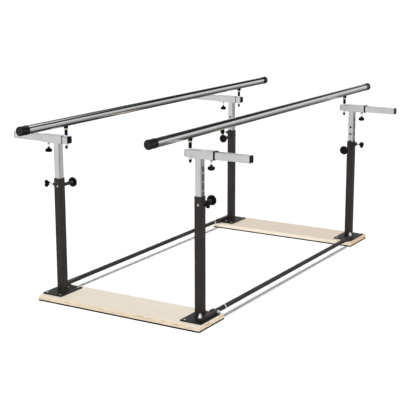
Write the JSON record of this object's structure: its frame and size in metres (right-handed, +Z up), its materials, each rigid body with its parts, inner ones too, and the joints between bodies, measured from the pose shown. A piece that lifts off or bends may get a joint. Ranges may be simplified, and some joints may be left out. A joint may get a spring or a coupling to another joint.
{
  "type": "walking parallel bars",
  "caption": "Folding walking parallel bars: two round handrails on square telescoping posts, with sliding cross arms, plywood base boards and floor links.",
  "frame": {"origin": "on the floor, in the middle of the walkway", "axes": "+Z up, Y along the walkway with the near end at -Y, +X to the right"},
  "size_m": [1.188, 2.1336, 0.8103],
  "materials": {
    "plywood": "lacquered birch",
    "mat_rubber": "matte",
    "cap_rubber": "matte",
    "screw_steel": "zinc",
    "bright_steel": "plated",
    "chrome": "polished",
    "rail_steel": "polished",
    "black_paint": "satin black",
    "black_plastic": "black"
  },
  "bodies": {
    "near_base": {"board_near": "plywood", "mat_near": "mat_rubber", "plate_screws_near": "screw_steel", "pivot_bolts_near": "bright_steel", "upright_near_left": "black_paint", "upright_near_right": "black_paint"},
    "far_base": {"board_far": "plywood", "mat_far": "mat_rubber", "plate_screws_far": "screw_steel", "pivot_bolts_far": "bright_steel", "upright_far_left": "black_paint", "upright_far_right": "black_paint"},
    "link_right_body": {"link_ends_right": "black_paint", "link_tube_right": "black_paint", "link_clamps_right": "bright_steel"},
    "link_left_body": {"link_ends_left": "black_paint", "link_tube_left": "black_paint", "link_clamps_left": "bright_steel"},
    "mast_near_left_body": {"mast_near_left": "chrome"},
    "arm_near_left_body": {"arm_near_left": "chrome", "arm_plugs_near_left": "black_plastic"},
    "pin_near_left_body": {"pull_pin_near_left": "bright_steel", "pull_knob_near_left": "black_plastic"},
    "mast_knob_near_left_body": {"mast_clamp_near_left": "black_plastic"},
    "arm_knob_near_left_body": {"arm_clamp_near_left": "black_plastic"},
    "mast_far_left_body": {"mast_far_left": "chrome"},
    "arm_far_left_body": {"arm_far_left": "chrome", "arm_plugs_far_left": "black_plastic"},
    "pin_far_left_body": {"pull_pin_far_left": "bright_steel", "pull_knob_far_left": "black_plastic"},
    "mast_knob_far_left_body": {"mast_clamp_far_left": "black_plastic"},
    "arm_knob_far_left_body": {"arm_clamp_far_left": "black_plastic"},
    "rail_left_body": {"rail_left": "rail_steel", "rail_caps_left": "cap_rubber", "saddles_left": "black_plastic", "spacers_left": "black_plastic", "swivel_bolts_left": "bright_steel"},
    "mast_near_right_body": {"mast_near_right": "chrome"},
    "arm_near_right_body": {"arm_near_right": "chrome", "arm_plugs_near_right": "black_plastic"},
    "pin_near_right_body": {"pull_pin_near_right": "bright_steel", "pull_knob_near_right": "black_plastic"},
    "mast_knob_near_right_body": {"mast_clamp_near_right": "black_plastic"},
    "arm_knob_near_right_body": {"arm_clamp_near_right": "black_plastic"},
    "mast_far_right_body": {"mast_far_right": "chrome"},
    "arm_far_right_body": {"arm_far_right": "chrome", "arm_plugs_far_right": "black_plastic"},
    "pin_far_right_body": {"pull_pin_far_right": "bright_steel", "pull_knob_far_right": "black_plastic"},
    "mast_knob_far_right_body": {"mast_clamp_far_right": "black_plastic"},
    "arm_knob_far_right_body": {"arm_clamp_far_right": "black_plastic"},
    "rail_right_body": {"rail_right": "rail_steel", "rail_caps_right": "cap_rubber", "saddles_right": "black_plastic", "spacers_right": "black_plastic", "swivel_bolts_right": "bright_steel"}
  },
  "joints": [
    {"name": "fold", "type": "hinge", "parent": "near_base", "child": "link_right_body", "pos_m": [0.39, -0.8176, 0.0383], "axis": [0, 0, 1], "range_deg": [-84, 0]},
    {"name": "far_base_turn", "type": "hinge", "parent": "link_right_body", "child": "far_base", "pos_m": [0.39, 0.7096, 0.0383], "axis": [0, 0, 1], "range_deg": [0, 84]},
    {"name": "left_link_turn", "type": "hinge", "parent": "near_base", "child": "link_left_body", "pos_m": [-0.39, -0.7096, 0.0383], "axis": [0, 0, 1], "range_deg": [-84, 0]},
    {"name": "lift_left", "type": "slide", "parent": "near_base", "child": "mast_near_left_body", "axis": [0, 0, 1], "range_m": [-0.073, 0.219]},
    {"name": "width_left", "type": "slide", "parent": "mast_near_left_body", "child": "arm_near_left_body", "axis": [1, 0, 0], "range_m": [0, 0.108]},
    {"name": "pin_near_left", "type": "slide", "parent": "near_base", "child": "pin_near_left_body", "axis": [0, -1, 0], "range_m": [0, 0.007]},
    {"name": "mast_knob_near_left", "type": "hinge", "parent": "near_base", "child": "mast_knob_near_left_body", "pos_m": [-0.4, -0.7636, 0.5095], "axis": [-1, 0, 0], "continuous": true},
    {"name": "arm_knob_near_left", "type": "hinge", "parent": "mast_near_left_body", "child": "arm_knob_near_left_body", "pos_m": [-0.411, -0.7636, 0.675], "axis": [0, 0, 1], "continuous": true},
    {"name": "lift_left_far", "type": "slide", "parent": "far_base", "child": "mast_far_left_body", "axis": [0, 0, 1], "range_m": [-0.073, 0.219]},
    {"name": "width_left_far", "type": "slide", "parent": "mast_far_left_body", "child": "arm_far_left_body", "axis": [1, 0, 0], "range_m": [0, 0.108]},
    {"name": "pin_far_left", "type": "slide", "parent": "far_base", "child": "pin_far_left_body", "axis": [0, 1, 0], "range_m": [0, 0.007]},
    {"name": "mast_knob_far_left", "type": "hinge", "parent": "far_base", "child": "mast_knob_far_left_body", "pos_m": [-0.4, 0.7636, 0.526], "axis": [-1, 0, 0], "continuous": true},
    {"name": "arm_knob_far_left", "type": "hinge", "parent": "mast_far_left_body", "child": "arm_knob_far_left_body", "pos_m": [-0.411, 0.7636, 0.675], "axis": [0, 0, 1], "continuous": true},
    {"name": "rail_turn_left", "type": "hinge", "parent": "arm_near_left_body", "child": "rail_left_body", "pos_m": [-0.3131, -0.7636, 0.713], "axis": [0, 0, 1], "range_deg": [-84, 0]},
    {"name": "lift_right", "type": "slide", "parent": "near_base", "child": "mast_near_right_body", "axis": [0, 0, 1], "range_m": [-0.073, 0.219]},
    {"name": "width_right", "type": "slide", "parent": "mast_near_right_body", "child": "arm_near_right_body", "axis": [-1, 0, 0], "range_m": [0, 0.108]},
    {"name": "pin_near_right", "type": "slide", "parent": "near_base", "child": "pin_near_right_body", "axis": [0, -1, 0], "range_m": [0, 0.007]},
    {"name": "mast_knob_near_right", "type": "hinge", "parent": "near_base", "child": "mast_knob_near_right_body", "pos_m": [0.4, -0.7636, 0.5095], "axis": [1, 0, 0], "continuous": true},
    {"name": "arm_knob_near_right", "type": "hinge", "parent": "mast_near_right_body", "child": "arm_knob_near_right_body", "pos_m": [0.411, -0.7636, 0.675], "axis": [0, 0, 1], "continuous": true},
    {"name": "lift_right_far", "type": "slide", "parent": "far_base", "child": "mast_far_right_body", "axis": [0, 0, 1], "range_m": [-0.073, 0.219]},
    {"name": "width_right_far", "type": "slide", "parent": "mast_far_right_body", "child": "arm_far_right_body", "axis": [-1, 0, 0], "range_m": [0, 0.108]},
    {"name": "pin_far_right", "type": "slide", "parent": "far_base", "child": "pin_far_right_body", "axis": [0, 1, 0], "range_m": [0, 0.007]},
    {"name": "mast_knob_far_right", "type": "hinge", "parent": "far_base", "child": "mast_knob_far_right_body", "pos_m": [0.4, 0.7636, 0.526], "axis": [1, 0, 0], "continuous": true},
    {"name": "arm_knob_far_right", "type": "hinge", "parent": "mast_far_right_body", "child": "arm_knob_far_right_body", "pos_m": [0.411, 0.7636, 0.675], "axis": [0, 0, 1], "continuous": true},
    {"name": "rail_turn_right", "type": "hinge", "parent": "arm_near_right_body", "child": "rail_right_body", "pos_m": [0.3131, -0.7636, 0.713], "axis": [0, 0, 1], "range_deg": [-84, 0]}
  ],
  "couplings": [
    {"joint": "far_base_turn", "follows": "fold", "ratio": -1},
    {"joint": "left_link_turn", "follows": "fold", "ratio": 1},
    {"joint": "lift_left_far", "follows": "lift_left", "ratio": 1},
    {"joint": "width_left_far", "follows": "width_left", "ratio": 1},
    {"joint": "rail_turn_left", "follows": "fold", "ratio": 1},
    {"joint": "lift_right_far", "follows": "lift_right", "ratio": 1},
    {"joint": "width_right_far", "follows": "width_right", "ratio": 1},
    {"joint": "rail_turn_right", "follows": "fold", "ratio": 1}
  ]
}
